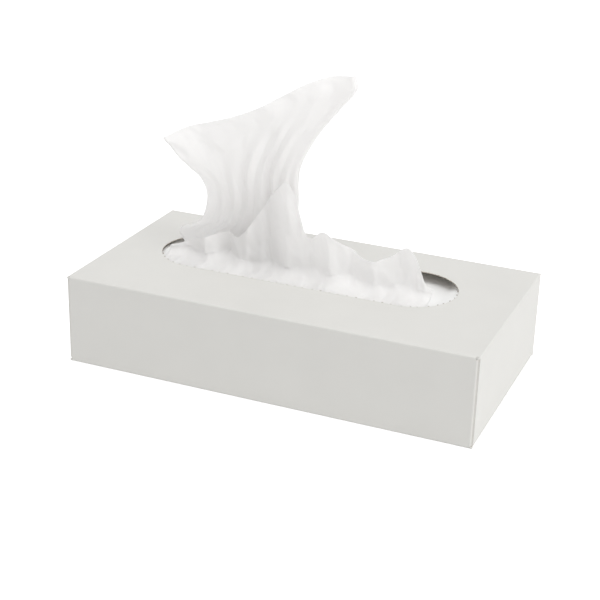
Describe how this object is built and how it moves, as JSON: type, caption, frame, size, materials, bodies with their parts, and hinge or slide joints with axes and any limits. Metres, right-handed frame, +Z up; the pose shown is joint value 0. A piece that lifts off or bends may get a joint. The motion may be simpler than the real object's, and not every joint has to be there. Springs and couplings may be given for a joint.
{
  "type": "tissue box",
  "caption": "Flat paperboard tissue box with an oval slot in its top, one tissue pulled up and fanned out, and the next sheet gathered in front of it.",
  "frame": {"origin": "centre of the carton's underside", "axes": "+X along the carton's length, the pulled sheet's side of the slot towards -X; +Y across its width, away from the long side that faces the viewer; +Z up"},
  "size_m": [0.24, 0.126, 0.1665],
  "materials": {
    "paperboard": "matt",
    "tissue": "matt"
  },
  "bodies": {
    "root": {"carton": "paperboard", "tissue_stack": "tissue", "next_sheet": "tissue", "pulled_sheet": "tissue"}
  },
  "joints": []
}
